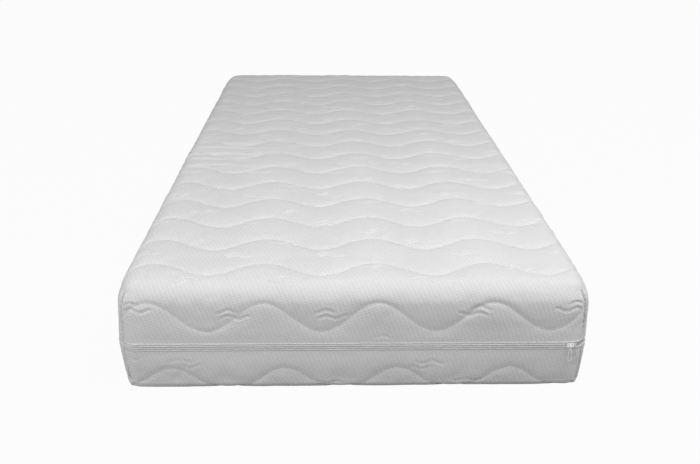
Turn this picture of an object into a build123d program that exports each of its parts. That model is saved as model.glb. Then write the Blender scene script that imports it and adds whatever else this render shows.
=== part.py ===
"""Pressure relief mattress: a zoned, castellated foam core in a quilted cover that unzips into two halves.

Millimetres. The origin is the middle of the underside, +Z is up, Y runs along the mattress with the
foot end at -Y, and X runs across it. The zip goes round all four sides, in two chains with a slider each.
"""

import os
from math import atan2, cos, degrees, radians, sin, sqrt

from build123d import *

# Outside of the mattress, in its cover
WIDTH = 900.0
LENGTH = 2000.0
HEIGHT = 220.0
CORNER_RADIUS = 38.0  # the upright corners, seen from above
SHOULDER_RADIUS = 38.0  # the edge round the lying surface
FOOT_RADIUS = 20.0  # the edge round the underside
ZIP_HEIGHT = 95.0  # the zip's centre line above the underside

# Quilted cover: knitted fabric outside, wadding, and a thin scrim inside
FABRIC = 1.2
WADDING = 5.6
SCRIM = 0.8

# Foam core
CORE_GAP = 1.4  # all round, between the scrim and the foam
CORE_CORNER_RADIUS = 52.0
BASE_HEIGHT = 112.0
BOLSTER_WIDTH = 90.0
HEAD_ZONE = 340.0
HEEL_ZONE = 320.0
CELL_PITCH_ACROSS = 100.0
HEEL_CELL_PITCH = 80.0  # along the mattress, as are the four below
LEG_CELL_PITCH = 110.0
SEAT_CELL_PITCH = 75.0
TORSO_CELL_PITCH = 90.0
HEAD_CELL_PITCH = 110.0
CELL_SHARE = 0.61  # depth of the cuts, as a share of the soft layer's height
CELL_CUT = 6.0  # width of the cuts between cells
CHANNEL_PITCH = 160.0  # air channels across the base's underside
CHANNEL_WIDTH = 10.0
CHANNEL_DEPTH = 24.0

# Zip, as a section: depths are measured inwards from the cover's outer face
TEETH_DEPTH = 0.2
TEETH_THICKNESS = 2.0
TEETH_HEIGHT = 2.6
ROW_GAP = 1.2  # between the upper and the lower half, where the slider's keel runs
TAPE_THICKNESS = 0.6
HEM_HEIGHT = 7.6
HEM_GAP = 10.8  # between the upper and the lower hem
STOP_LENGTH = 3.0
STOP_GAP = 1.0  # between a stop and what is beside it

# Sliders
SLIDER_LENGTH = 16.0
SLIDER_NOSE_WIDTH = 11.4
SLIDER_TAIL_WIDTH = 10.0
PLATE_THICKNESS = 1.2
PLATE_CLEARANCE = 0.3  # outer plate to teeth, and flange to tape
BACK_CLEARANCE = 0.8  # back plate to tape
FLANGE_THICKNESS = 1.2
KEEL_THICKNESS = 0.7
KEEL_LENGTH = 5.0
FRONT_PARK = 40.0  # the front slider's middle, in from the right side
SIDE_PARK = 175.0  # the side slider's middle, back from the foot end
BRIDGE_LENGTH = 11.6
BRIDGE_WIDTH = 1.6
BRIDGE_BAR = 1.4

# Pull tabs, each on a rolled eye round its slider's bridge
EYE_CLEARANCE = 0.3
EYE_WALL = 0.85
EYE_LENGTH = 4.0
PULL_LENGTH = 32.0  # from the eye's axis to the tip
PULL_WIDTH = 8.4
PULL_NECK_WIDTH = 4.0
PULL_THICKNESS = 1.0
PULL_SLOT_LENGTH = 17.0
PULL_SLOT_WIDTH = 3.4
SIDE_PULL_ANGLE = 68.0  # how far the side pull stands out from hanging

# Corner seams inside the cover
SEAM_THICKNESS = 2.0
SEAM_DEPTH = 5.0
SEAM_GAP = 0.1
SEAM_END_GAP = 3.0

# Worked out from the sizes above
STACK = FABRIC + WADDING + SCRIM
CORE_INSET = STACK + CORE_GAP
TAPE_DEPTH = TEETH_DEPTH + TEETH_THICKNESS
TAPE_BACK = TAPE_DEPTH + TAPE_THICKNESS
HEM_TOP = HEM_GAP / 2 + HEM_HEIGHT  # the hem's far edge, from the zip's centre line
BASE_TOP = CORE_INSET + BASE_HEIGHT
CORE_WIDTH = WIDTH - 2 * CORE_INSET
CORE_LENGTH = LENGTH - 2 * CORE_INSET
CORE_TOP = HEIGHT - CORE_INSET
CELL_DEPTH = CELL_SHARE * (CORE_TOP - BASE_TOP)
PLATE_FACE = PLATE_CLEARANCE - TEETH_DEPTH  # the outer plate's inner face, out from the cover
EYE_BORE = sqrt(BRIDGE_WIDTH**2 + BRIDGE_BAR**2) / 2 + EYE_CLEARANCE
EYE_RADIUS = EYE_BORE + EYE_WALL
PIVOT_HEIGHT = PLATE_FACE + PLATE_THICKNESS + EYE_CLEARANCE + EYE_RADIUS

# Ends of the zip's two chains: the front one runs from the left side round to the right of the foot
# end, and the other one runs from there along the right side, the head end and the left side
FRONT_CHAIN_END = WIDTH / 2 - FRONT_PARK + SLIDER_LENGTH / 2
BACK_START = -LENGTH / 2 + CORNER_RADIUS + 2 * STOP_GAP + STOP_LENGTH
SIDE_CHAIN_END = -LENGTH / 2 + SIDE_PARK - SLIDER_LENGTH / 2
LIFT_GAP = SLIDER_LENGTH + STOP_GAP  # the upper teeth end at a parked slider's tail, so the half can lift
FRONT_CHAIN_START = SIDE_CHAIN_END - 2 * STOP_LENGTH - 3 * STOP_GAP

FRONT_PLANE = Plane(
    origin=(WIDTH / 2 - FRONT_PARK, -LENGTH / 2, ZIP_HEIGHT), x_dir=(1, 0, 0), z_dir=(0, -1, 0)
)
SIDE_PLANE = Plane(
    origin=(-WIDTH / 2, -LENGTH / 2 + SIDE_PARK, ZIP_HEIGHT), x_dir=(0, -1, 0), z_dir=(-1, 0, 0)
)


def save(piece, name):
    """Labels a finished solid or group of solids, and writes it as its own node."""
    piece.label = name
    export_step(piece, f"parts/{name}.step")


def rounded_block(inset, corner_radius):
    """The mattress's outside, moved inwards all round by inset."""
    with BuildPart() as block:
        with BuildSketch(Plane.XY.offset(inset)):
            RectangleRounded(WIDTH - 2 * inset, LENGTH - 2 * inset, corner_radius)
        extrude(amount=HEIGHT - 2 * inset)
        fillet(block.faces().sort_by(Axis.Z)[-1].edges(), SHOULDER_RADIUS - inset)
        fillet(block.faces().sort_by(Axis.Z)[0].edges(), FOOT_RADIUS - inset)
    return block.part


def cover_layer(outer, inner, keep):
    """One layer of a cover half, between two insets, up to its hem."""
    edge = ZIP_HEIGHT + HEM_TOP if keep == Keep.TOP else ZIP_HEIGHT - HEM_TOP
    outside = rounded_block(outer, CORNER_RADIUS - outer)
    inside = rounded_block(inner, CORNER_RADIUS - inner)
    with BuildPart() as layer:
        add(outside)
        add(inside, mode=Mode.SUBTRACT)
        split(bisect_by=Plane.XY.offset(edge), keep=keep)
    return layer.part


def perimeter_band(outer, inner, near, far, side):
    """A band round the mattress, from near to far above (side 1) or below (side -1) the zip."""
    low, high = sorted((ZIP_HEIGHT + side * near, ZIP_HEIGHT + side * far))
    with BuildPart() as band:
        with BuildSketch(Plane.XY.offset(low)):
            RectangleRounded(WIDTH - 2 * outer, LENGTH - 2 * outer, CORNER_RADIUS - outer)
            RectangleRounded(
                WIDTH - 2 * inner, LENGTH - 2 * inner, CORNER_RADIUS - inner, mode=Mode.SUBTRACT
            )
        extrude(amount=high - low)
    return band.part


def corner_seams(low, high):
    """The four upright seam allowances inside a cover half, each across its corner."""
    centre_x = WIDTH / 2 - CORNER_RADIUS
    centre_y = LENGTH / 2 - CORNER_RADIUS
    middle = CORNER_RADIUS - STACK - SEAM_GAP - SEAM_DEPTH / 2
    with BuildPart() as seams:
        for side_x in (-1, 1):
            for side_y in (-1, 1):
                turn = degrees(atan2(side_y, side_x))
                x = side_x * centre_x + middle * cos(radians(turn))
                y = side_y * centre_y + middle * sin(radians(turn))
                with Locations(Location((x, y, (low + high) / 2), (0, 0, turn))):
                    Box(SEAM_DEPTH, SEAM_THICKNESS, high - low)
    return seams.part


def tooth_row(side):
    """The full ring of one half's teeth, before it is cut into its two chains."""
    return perimeter_band(TEETH_DEPTH, TAPE_DEPTH, ROW_GAP / 2, ROW_GAP / 2 + TEETH_HEIGHT, side)


def zip_teeth(side):
    """Half of the two chains, with gaps for the stops at both ends of each."""
    row = tooth_row(side)
    short = LIFT_GAP if side > 0 else 0
    front_end = FRONT_CHAIN_END - short
    side_gap = SIDE_CHAIN_END + short - FRONT_CHAIN_START
    corner_gap = BACK_START + LENGTH / 2
    with BuildPart() as teeth:
        add(row)
        with Locations((WIDTH / 2, BACK_START - corner_gap / 2, ZIP_HEIGHT)):
            Box(WIDTH - 2 * front_end, corner_gap, HEM_GAP, mode=Mode.SUBTRACT)
        with Locations((-WIDTH / 2, FRONT_CHAIN_START + side_gap / 2, ZIP_HEIGHT)):
            Box(CORNER_RADIUS, side_gap, HEM_GAP, mode=Mode.SUBTRACT)
    return teeth.part


def zip_stops(side):
    """The four stops of one half: one at each end of both chains."""
    beside = STOP_GAP + STOP_LENGTH / 2
    row = tooth_row(side)
    with BuildPart() as stops:
        add(row)
        with BuildSketch(Plane.XY.offset(ZIP_HEIGHT - HEM_GAP / 2)):
            with Locations((FRONT_CHAIN_END + beside, -LENGTH / 2)):
                Rectangle(STOP_LENGTH, CORNER_RADIUS)
            with Locations(
                (WIDTH / 2, BACK_START - beside),
                (-WIDTH / 2, SIDE_CHAIN_END - beside),
                (-WIDTH / 2, FRONT_CHAIN_START + beside),
            ):
                Rectangle(CORNER_RADIUS, STOP_LENGTH)
        extrude(amount=HEM_GAP, mode=Mode.INTERSECT)
    return stops.part


def slider_outline():
    """A slider plate, seen from outside with its nose to the right."""
    with BuildSketch() as outline:
        with BuildLine():
            Polyline(
                (-SLIDER_LENGTH / 2, -SLIDER_TAIL_WIDTH / 2),
                (0, -SLIDER_TAIL_WIDTH / 2),
                (SLIDER_LENGTH / 2, -SLIDER_NOSE_WIDTH / 2),
                (SLIDER_LENGTH / 2, SLIDER_NOSE_WIDTH / 2),
                (0, SLIDER_TAIL_WIDTH / 2),
                (-SLIDER_LENGTH / 2, SLIDER_TAIL_WIDTH / 2),
                close=True,
            )
        make_face()
        fillet(outline.vertices().group_by(Axis.X)[0], SLIDER_TAIL_WIDTH / 5)
        fillet(outline.vertices().group_by(Axis.X)[-1], SLIDER_NOSE_WIDTH / 4)
    return outline.sketch


def zip_slider(plane):
    """A slider on a plane whose X is its nose, Y is up and Z is out of the cover."""
    outline = slider_outline()
    back_face = -TAPE_BACK - BACK_CLEARANCE
    row_edge = ROW_GAP / 2 + TEETH_HEIGHT + PLATE_CLEARANCE
    flange_drop = TAPE_DEPTH - PLATE_CLEARANCE
    plate_top = PLATE_FACE + PLATE_THICKNESS
    bar_top = PIVOT_HEIGHT + BRIDGE_BAR / 2
    with BuildPart(plane) as slider:
        with BuildSketch(plane.offset(PLATE_FACE)):
            add(outline)
        extrude(amount=PLATE_THICKNESS)
        fillet(
            slider.faces().sort_by(Axis(plane.origin, plane.z_dir))[-1].edges(),
            PLATE_THICKNESS / 3,
        )
        with BuildSketch(plane.offset(back_face)):
            add(outline)
        extrude(amount=-PLATE_THICKNESS)
        with BuildSketch(plane.offset(-flange_drop)):
            for edge in (-1, 1):
                with Locations((0, edge * (row_edge + FLANGE_THICKNESS / 2))):
                    Rectangle(SLIDER_LENGTH * 3 / 4, FLANGE_THICKNESS)
        extrude(amount=flange_drop + PLATE_FACE)
        with BuildSketch(plane.offset(back_face)):
            with Locations((SLIDER_LENGTH / 2 - KEEL_LENGTH / 2, 0)):
                Rectangle(KEEL_LENGTH, KEEL_THICKNESS)
        extrude(amount=PLATE_FACE - back_face)
        with BuildSketch(plane.offset(plate_top)):
            Rectangle(BRIDGE_LENGTH, BRIDGE_WIDTH)
        extrude(amount=bar_top - plate_top)
        with BuildSketch(plane.offset(plate_top)):
            Rectangle(BRIDGE_LENGTH - 2 * BRIDGE_BAR, BRIDGE_WIDTH)
        extrude(amount=PIVOT_HEIGHT - BRIDGE_BAR / 2 - plate_top, mode=Mode.SUBTRACT)
    return slider.part


def pull_tab(plane, stand_out):
    """A pull on a slider's plane, swung out by stand_out degrees from hanging straight down."""
    pivot = plane.offset(PIVOT_HEIGHT).origin
    out = plane.z_dir.rotate(Axis((0, 0, 0), plane.x_dir), -stand_out)
    hung = Plane(pivot, x_dir=plane.x_dir, z_dir=out)
    eye_plane = Plane(hung.origin, x_dir=hung.y_dir, z_dir=hung.x_dir)
    tip_radius = PULL_WIDTH / 2
    slot_wall = (PULL_WIDTH - PULL_SLOT_WIDTH) / 2
    neck_end = EYE_RADIUS + PULL_WIDTH
    with BuildPart(hung) as pull:
        with BuildSketch(hung.offset(-PULL_THICKNESS / 2)) as tab:
            with BuildLine():
                Polyline(
                    (-PULL_NECK_WIDTH / 2, 0),
                    (-PULL_NECK_WIDTH / 2, -EYE_RADIUS),
                    (-tip_radius, -neck_end),
                    (-tip_radius, -PULL_LENGTH),
                    (tip_radius, -PULL_LENGTH),
                    (tip_radius, -neck_end),
                    (PULL_NECK_WIDTH / 2, -EYE_RADIUS),
                    (PULL_NECK_WIDTH / 2, 0),
                    close=True,
                )
            make_face()
            fillet(tab.vertices().group_by(Axis.Y)[0], tip_radius * 0.98)
            with Locations((0, -PULL_LENGTH + slot_wall + PULL_SLOT_LENGTH / 2)):
                SlotOverall(PULL_SLOT_LENGTH, PULL_SLOT_WIDTH, rotation=90, mode=Mode.SUBTRACT)
        extrude(amount=PULL_THICKNESS)
        with BuildSketch(eye_plane.offset(-EYE_LENGTH / 2)):
            Circle(EYE_RADIUS)
        extrude(amount=EYE_LENGTH)
        with BuildSketch(eye_plane.offset(-EYE_LENGTH)):
            Circle(EYE_BORE)
        extrude(amount=2 * EYE_LENGTH, mode=Mode.SUBTRACT)
    return pull.part


def foam_region(x_low, x_high, y_low, y_high, z_low, z_high):
    """The part of the foam core's outline inside a box."""
    core = rounded_block(CORE_INSET, CORE_CORNER_RADIUS)
    with BuildPart() as region:
        add(core)
        with Locations(((x_low + x_high) / 2, (y_low + y_high) / 2, (z_low + z_high) / 2)):
            Box(x_high - x_low, y_high - y_low, z_high - z_low, mode=Mode.INTERSECT)
    return region.part


def foam_base():
    """The full-width base slab, with air channels across its underside."""
    channels = max(1, round(CORE_LENGTH / CHANNEL_PITCH) - 1)
    slab = foam_region(-CORE_WIDTH, CORE_WIDTH, -CORE_LENGTH, CORE_LENGTH, CORE_INSET, BASE_TOP)
    with BuildPart() as base:
        add(slab)
        with BuildSketch(Plane.XY.offset(CORE_INSET)):
            with GridLocations(0, CORE_LENGTH / (channels + 1), 1, channels):
                Rectangle(CORE_WIDTH, CHANNEL_WIDTH)
        extrude(amount=CHANNEL_DEPTH, mode=Mode.SUBTRACT)
    return base.part


def foam_zone(y_low, y_high, pitch_along):
    """One zone of the pressure relief layer, cut into cells from above."""
    half_width = CORE_WIDTH / 2 - BOLSTER_WIDTH
    columns = max(2, round(2 * half_width / CELL_PITCH_ACROSS))
    rows = max(2, round((y_high - y_low) / pitch_along))
    length = y_high - y_low
    block = foam_region(-half_width, half_width, y_low, y_high, BASE_TOP, CORE_TOP)
    with BuildPart() as zone:
        add(block)
        with BuildSketch(Plane.XY.offset(CORE_TOP)):
            with GridLocations(2 * half_width / columns, 0, columns - 1, 1):
                with Locations((0, (y_low + y_high) / 2)):
                    Rectangle(CELL_CUT, length)
            with Locations((0, (y_low + y_high) / 2)):
                with GridLocations(0, length / rows, 1, rows - 1):
                    Rectangle(2 * half_width, CELL_CUT)
        extrude(amount=-CELL_DEPTH, mode=Mode.SUBTRACT)
    return zone.part


os.makedirs("parts", exist_ok=True)

# Quilted cover, in two halves that the zip joins
for half, keep in (("top", Keep.TOP), ("bottom", Keep.BOTTOM)):
    save(cover_layer(0, FABRIC, keep), f"{half}_cover_fabric")
    save(cover_layer(FABRIC, FABRIC + WADDING, keep), f"{half}_cover_wadding")
    save(cover_layer(FABRIC + WADDING, STACK, keep), f"{half}_cover_scrim")

save(
    corner_seams(ZIP_HEIGHT + HEM_TOP + SEAM_END_GAP, HEIGHT - SHOULDER_RADIUS - SEAM_END_GAP),
    "top_corner_seams",
)
save(
    corner_seams(FOOT_RADIUS + SEAM_END_GAP, ZIP_HEIGHT - HEM_TOP - SEAM_END_GAP),
    "bottom_corner_seams",
)

# Zip: a hem, a tape, a row of teeth and its stops on each cover half
for half, side in (("upper", 1), ("lower", -1)):
    save(perimeter_band(0, TAPE_DEPTH, HEM_GAP / 2, HEM_TOP, side), f"{half}_hem")
    save(perimeter_band(TAPE_DEPTH, TAPE_BACK, ROW_GAP / 2, HEM_TOP, side), f"{half}_zip_tape")
    save(zip_teeth(side), f"{half}_zip_teeth")
    save(zip_stops(side), f"{half}_zip_stops")

save(zip_slider(FRONT_PLANE), "front_zip_slider")
save(pull_tab(FRONT_PLANE, 0), "front_zip_pull")
save(zip_slider(SIDE_PLANE), "side_zip_slider")
save(pull_tab(SIDE_PLANE, SIDE_PULL_ANGLE), "side_zip_pull")

# Foam core: a base slab, two firm side bolsters, and five zones of cells between them
save(foam_base(), "foam_base")
inner_edge = CORE_WIDTH / 2 - BOLSTER_WIDTH
save(
    foam_region(-CORE_WIDTH, -inner_edge, -CORE_LENGTH, CORE_LENGTH, BASE_TOP, CORE_TOP),
    "left_side_bolster",
)
save(
    foam_region(inner_edge, CORE_WIDTH, -CORE_LENGTH, CORE_LENGTH, BASE_TOP, CORE_TOP),
    "right_side_bolster",
)

heel_end = -CORE_LENGTH / 2 + HEEL_ZONE
head_start = CORE_LENGTH / 2 - HEAD_ZONE
middle_length = (head_start - heel_end) / 3
leg_end = heel_end + middle_length
torso_start = head_start - middle_length
save(foam_zone(-CORE_LENGTH / 2, heel_end, HEEL_CELL_PITCH), "foam_heel_zone")
save(foam_zone(heel_end, leg_end, LEG_CELL_PITCH), "foam_leg_zone")
save(foam_zone(leg_end, torso_start, SEAT_CELL_PITCH), "foam_seat_zone")
save(foam_zone(torso_start, head_start, TORSO_CELL_PITCH), "foam_torso_zone")
save(foam_zone(head_start, CORE_LENGTH / 2, HEAD_CELL_PITCH), "foam_head_zone")
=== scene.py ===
"""Pressure relief mattress: quilted cover halves, zip, sliders and cells of foam, around the fixed frame."""

from math import cos, pi, radians, sin

import bpy
import numpy as np
from bpy.props import FloatProperty, FloatVectorProperty, PointerProperty
from mathutils import Euler, Matrix, Vector


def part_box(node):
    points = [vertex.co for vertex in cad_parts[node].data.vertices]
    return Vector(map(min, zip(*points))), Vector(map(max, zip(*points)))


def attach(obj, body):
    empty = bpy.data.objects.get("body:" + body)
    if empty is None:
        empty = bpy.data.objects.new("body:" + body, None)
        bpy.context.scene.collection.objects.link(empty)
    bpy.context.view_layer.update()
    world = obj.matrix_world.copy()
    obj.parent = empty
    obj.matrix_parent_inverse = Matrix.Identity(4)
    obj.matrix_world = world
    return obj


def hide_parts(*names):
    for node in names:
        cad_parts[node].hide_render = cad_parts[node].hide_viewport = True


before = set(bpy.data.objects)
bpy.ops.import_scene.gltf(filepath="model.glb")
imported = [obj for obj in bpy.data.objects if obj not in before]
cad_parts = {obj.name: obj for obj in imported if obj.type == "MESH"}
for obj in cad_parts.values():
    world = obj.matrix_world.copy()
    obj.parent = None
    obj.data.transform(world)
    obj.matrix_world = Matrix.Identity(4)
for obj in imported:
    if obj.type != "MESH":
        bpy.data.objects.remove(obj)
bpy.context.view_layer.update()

bl_info = {
    "name": "Pressure relief mattress",
    "version": (1, 0, 0),
    "blender": (4, 5, 0),
    "location": "View3D > Sidebar > Mattress",
    "description": "Builds a quilted, zipped mattress cover over a castellated foam core",
    "category": "Add Mesh",
}

MM = 0.001
CORE_BODY = "core_and_base_cover"
COVER_BODY = "top_cover"


# ---------------------------------------------------------------- places taken from the frame

TOP_LOW, TOP_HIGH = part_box("top_cover_fabric")
BOTTOM_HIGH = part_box("bottom_cover_fabric")[1]
HALF_WIDTH = TOP_HIGH.x
HALF_LENGTH = TOP_HIGH.y
HEIGHT = TOP_HIGH.z
HEM_LOW, HEM_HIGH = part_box("upper_hem")
ZIP_HEIGHT = (HEM_LOW.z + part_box("lower_hem")[1].z) / 2
HEM_EDGE = HEM_LOW.z - ZIP_HEIGHT  # from the zip's centre line to the hem's fold
HEM_TOP = HEM_HIGH.z - ZIP_HEIGHT
TAPE_DEPTH = HALF_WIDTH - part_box("upper_zip_tape")[1].x
TEETH_DEPTH = HALF_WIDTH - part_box("upper_zip_teeth")[1].x
SCRIM_DEPTH = HALF_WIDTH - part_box("top_cover_scrim")[1].x
PLAN_RADIUS = 38 * MM  # of the four corners in plan, and of the edge round the lying surface
FOOT_RADIUS = 20 * MM  # of the edge round the underside
HEM_OVERLAP = HEM_TOP - HEM_EDGE - 0.9 * MM  # the fabric's outer face goes on over the hem up to its fold
STOP_LENGTH = 3 * MM
STOP_GAP = 1 * MM
DOT_SLANT = 0.39  # of the knit's rows of dots
DOT_SHARE = 0.675  # of the spacing across that the rows are apart


# ---------------------------------------------------------------- settings


def length_setting(name, description, default, **limits):
    """A length that the user may change, with its default in millimetres."""
    return FloatProperty(name=name, description=description, default=default * MM, unit="LENGTH", **limits)


def colour_setting(name, description, default):
    """A colour that the user may change."""
    return FloatVectorProperty(name=name, description=description, default=default, subtype="COLOR")


class MATTRESS_PG_cover(bpy.types.PropertyGroup):
    """Shape of the two cover halves"""

    fabric_step: length_setting("Fabric mesh step", "Spacing of the fabric's mesh", 2.7, min=1 * MM)
    lining_step: length_setting(
        "Lining mesh step", "Spacing of the wadding's and the scrim's mesh", 12, min=3 * MM)
    cloth_step: length_setting(
        "Cloth simulation step", "Spacing of the mesh that the padding is blown up on", 12, min=6 * MM)
    pressure: FloatProperty(
        name="Padding pressure", description="How hard the wadding pushes the fabric out",
        default=4.0, min=0.0)
    puff_limit: length_setting("Puff limit", "The furthest that the simulation moves the fabric", 5)
    edge_stretch: FloatProperty(
        name="Stretch over the edges", description="Share of its own length that the knit needs over an edge",
        default=1.0, min=0.3, max=1.0, subtype="FACTOR")
    wall_bulge: length_setting("Wall bulge", "How far the walls stand out between the edge and the zip", 1.2)
    hem_pull: length_setting("Pull at the hem", "How far the zip pulls the fabric in", 1.0)
    foot_taper: length_setting("Foot taper", "How far the walls draw in towards the floor", 3.4)
    foam_squeeze: length_setting(
        "Foam squeeze", "How far the closed cover presses the foam in on each side", 4)
    corner_draw: length_setting("Corner draw", "How far the corner seams draw the walls in", 5.0)
    corner_sink: length_setting("Corner sink", "How far the lying surface sinks at its corners", 6)
    seam_depth: length_setting("Corner seam depth", "How far the corner seams pull the fabric in", 6.0)
    wrinkle_height: length_setting(
        "Wrinkle height", "Height of the loose wrinkles across the lying surface", 0.9)
    gather_height: length_setting(
        "Gather height", "Height of the folds where the slack gathers at the left edge", 5.0)


class MATTRESS_PG_quilt(bpy.types.PropertyGroup):
    """The quilting stitched through the cover"""

    row_spacing: length_setting("Row spacing", "From one stitched wave to the next, along the mattress", 128)
    wave_length: length_setting("Wave length", "From one crest to the next, across the mattress", 215)
    wave_height: length_setting("Wave height", "From a stitched wave's middle to its crest", 29)
    wave_drift: length_setting(
        "Wave drift", "How far the crests lean to the left, for each metre towards the head end", 23)
    groove_depth: length_setting("Groove depth", "How deep the stitches sink", 3.1)
    groove_width: length_setting("Groove width", "How quickly the wadding rises beside the stitches", 4.4)
    puff_height: length_setting("Puff height", "How high the wadding crowns midway between the waves", 3.0)
    motif_length: length_setting("Motif length", "Length of the small double wavelets between the waves", 68)
    motif_depth: length_setting("Motif depth", "How deep the small wavelets sink", 2.4)
    motif_column: length_setting("Motif column spacing", "From one column of wavelets to the next", 91)
    motif_repeat: length_setting("Motif repeat", "From one wavelet to the next in a column", 182)
    knit_pitch: length_setting("Knit pitch", "Size of one cell of the knitted dot pattern", 8.4)


class MATTRESS_PG_zip(bpy.types.PropertyGroup):
    """The zip's fine shape"""

    tooth_pitch: length_setting("Tooth pitch", "From one coil of the zip to the next", 2.1, min=1 * MM)
    hem_step: length_setting("Hem mesh step", "Spacing of the hem's mesh along the zip", 5)
    hem_pucker: length_setting("Hem pucker", "Height of the hem's small puckers", 0.35)


class MATTRESS_PG_colours(bpy.types.PropertyGroup):
    """Colours of the finishes"""

    knit: colour_setting("Knit", "Cover fabric", (0.80, 0.80, 0.805))
    # The tape's grey is partly its own colour and partly painted shade: it is set darker than the knit for the
    # shaded gaps beside the coils.
    tape: colour_setting("Zip tape", "Woven tape", (0.70, 0.70, 0.705))
    coil: colour_setting("Zip coil", "Coil of the zip", (0.90, 0.90, 0.90))
    metal: colour_setting("Zip metal", "Sliders, pulls and stops", (0.93, 0.93, 0.92))
    lining: colour_setting("Lining", "Wadding and scrim", (0.86, 0.86, 0.85))
    base_foam: colour_setting("Base foam", "Firm base layer", (0.42, 0.50, 0.60))
    bolster_foam: colour_setting("Bolster foam", "Firm side bolsters", (0.60, 0.64, 0.69))
    soft_foam: colour_setting("Soft foam", "Heel, seat and head zones", (0.80, 0.70, 0.46))
    zone_foam: colour_setting("Medium foam", "Leg and torso zones", (0.84, 0.79, 0.64))


SETTINGS = {
    "mattress_cover": MATTRESS_PG_cover,
    "mattress_quilt": MATTRESS_PG_quilt,
    "mattress_zip": MATTRESS_PG_zip,
    "mattress_colours": MATTRESS_PG_colours,
}


# ---------------------------------------------------------------- shader groups


def new_group(name, outputs, **inputs):
    """An empty shader group, with the sockets that it is given and those that it fills. An input's default
    tells its kind: a number, a colour, or None for a vector."""
    kinds = {type(None): "NodeSocketVector", float: "NodeSocketFloat", tuple: "NodeSocketColor"}
    group = bpy.data.node_groups.new(name, "ShaderNodeTree")
    for label, default in inputs.items():
        socket = group.interface.new_socket(
            name=label.replace("_", " "), in_out="INPUT", socket_type=kinds[type(default)])
        if default is not None:
            socket.default_value = default
    for label in outputs:
        kind = "NodeSocketColor" if label == "Colour" else "NodeSocketFloat"
        group.interface.new_socket(name=label, in_out="OUTPUT", socket_type=kind)
    return group, group.nodes.new("NodeGroupInput").outputs, group.nodes.new("NodeGroupOutput").inputs


def math_node(tree, operation, first, second=None):
    """One Math node, fed by sockets or plain numbers."""
    node = tree.nodes.new("ShaderNodeMath")
    node.operation = operation
    for slot, value in enumerate((first, second)):
        if value is None:
            continue
        if isinstance(value, (int, float)):
            node.inputs[slot].default_value = value
        else:
            tree.links.new(value, node.inputs[slot])
    return node.outputs[0]


def knit_group(name):
    """Dimples of a double knit in slanting rows, over its fine wales."""
    group, given, result = new_group(name, ("Height", "Dimples"), Vector=None, Pitch=0.0084, Slant=DOT_SLANT)

    def calc(*parts):
        return math_node(group, *parts)

    split = group.nodes.new("ShaderNodeSeparateXYZ")
    group.links.new(given["Vector"], split.inputs[0])
    u, v, slant, pitch = split.outputs["X"], split.outputs["Y"], given["Slant"], given["Pitch"]
    turn_u = calc("DIVIDE", calc("ADD", u, calc("MULTIPLY", v, slant)), pitch)
    turn_v = calc("DIVIDE", calc("SUBTRACT", v, calc("MULTIPLY", u, slant)), calc("MULTIPLY", pitch, DOT_SHARE))
    wave_u = calc("COSINE", calc("MULTIPLY", turn_u, 2 * pi))
    wave_v = calc("COSINE", calc("MULTIPLY", turn_v, 2 * pi))
    both = calc("MULTIPLY", calc("ADD", wave_u, wave_v), 0.25)
    dimple = calc("POWER", calc("ADD", both, 0.5), 2.5)
    fine_u = calc("SINE", calc("MULTIPLY", turn_u, 2 * pi * 8))
    fine_v = calc("SINE", calc("MULTIPLY", turn_v, 2 * pi * 4))
    wales = calc("MULTIPLY", calc("MULTIPLY", fine_u, fine_v), 0.10)
    group.links.new(calc("SUBTRACT", wales, dimple), result["Height"])
    group.links.new(dimple, result["Dimples"])
    return group


def tone_group(name):
    """Slow, faint variation of a colour, with a darker tint where a mask says."""
    group, given, result = new_group(
        name, ("Colour",), Vector=None, Colour=(0.8, 0.8, 0.8, 1), Scale=9.0, Amount=0.06, Mask=0.0, Tint=0.1)
    noise = group.nodes.new("ShaderNodeTexNoise")
    noise.inputs["Detail"].default_value = 4.0
    group.links.new(given["Vector"], noise.inputs["Vector"])
    group.links.new(given["Scale"], noise.inputs["Scale"])
    centred = math_node(group, "SUBTRACT", noise.outputs["Fac"], 0.5)
    swing = math_node(group, "MULTIPLY", centred, given["Amount"])
    darker = math_node(group, "MULTIPLY", given["Mask"], given["Tint"])
    value = math_node(group, "SUBTRACT", math_node(group, "ADD", swing, 1.0), darker)
    scaled = group.nodes.new("ShaderNodeVectorMath")
    scaled.operation = "SCALE"
    group.links.new(given["Colour"], scaled.inputs[0])
    group.links.new(value, scaled.inputs["Scale"])
    group.links.new(scaled.outputs[0], result["Colour"])
    return group


def grain_group(name):
    """Fine grain as a height: fibres or cast metal, or foam pores where Cells is 1."""
    group, given, result = new_group(name, ("Height",), Vector=None, Scale=400.0, Cells=0.0)
    noise = group.nodes.new("ShaderNodeTexNoise")
    noise.inputs["Detail"].default_value = 3.0
    cells = group.nodes.new("ShaderNodeTexVoronoi")
    for node in (noise, cells):
        group.links.new(given["Vector"], node.inputs["Vector"])
        group.links.new(given["Scale"], node.inputs["Scale"])
    mixed = group.nodes.new("ShaderNodeMix")
    group.links.new(given["Cells"], mixed.inputs["Factor"])
    group.links.new(noise.outputs["Fac"], mixed.inputs["A"])
    group.links.new(cells.outputs["Distance"], mixed.inputs["B"])
    group.links.new(mixed.outputs["Result"], result["Height"])
    return group


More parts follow.
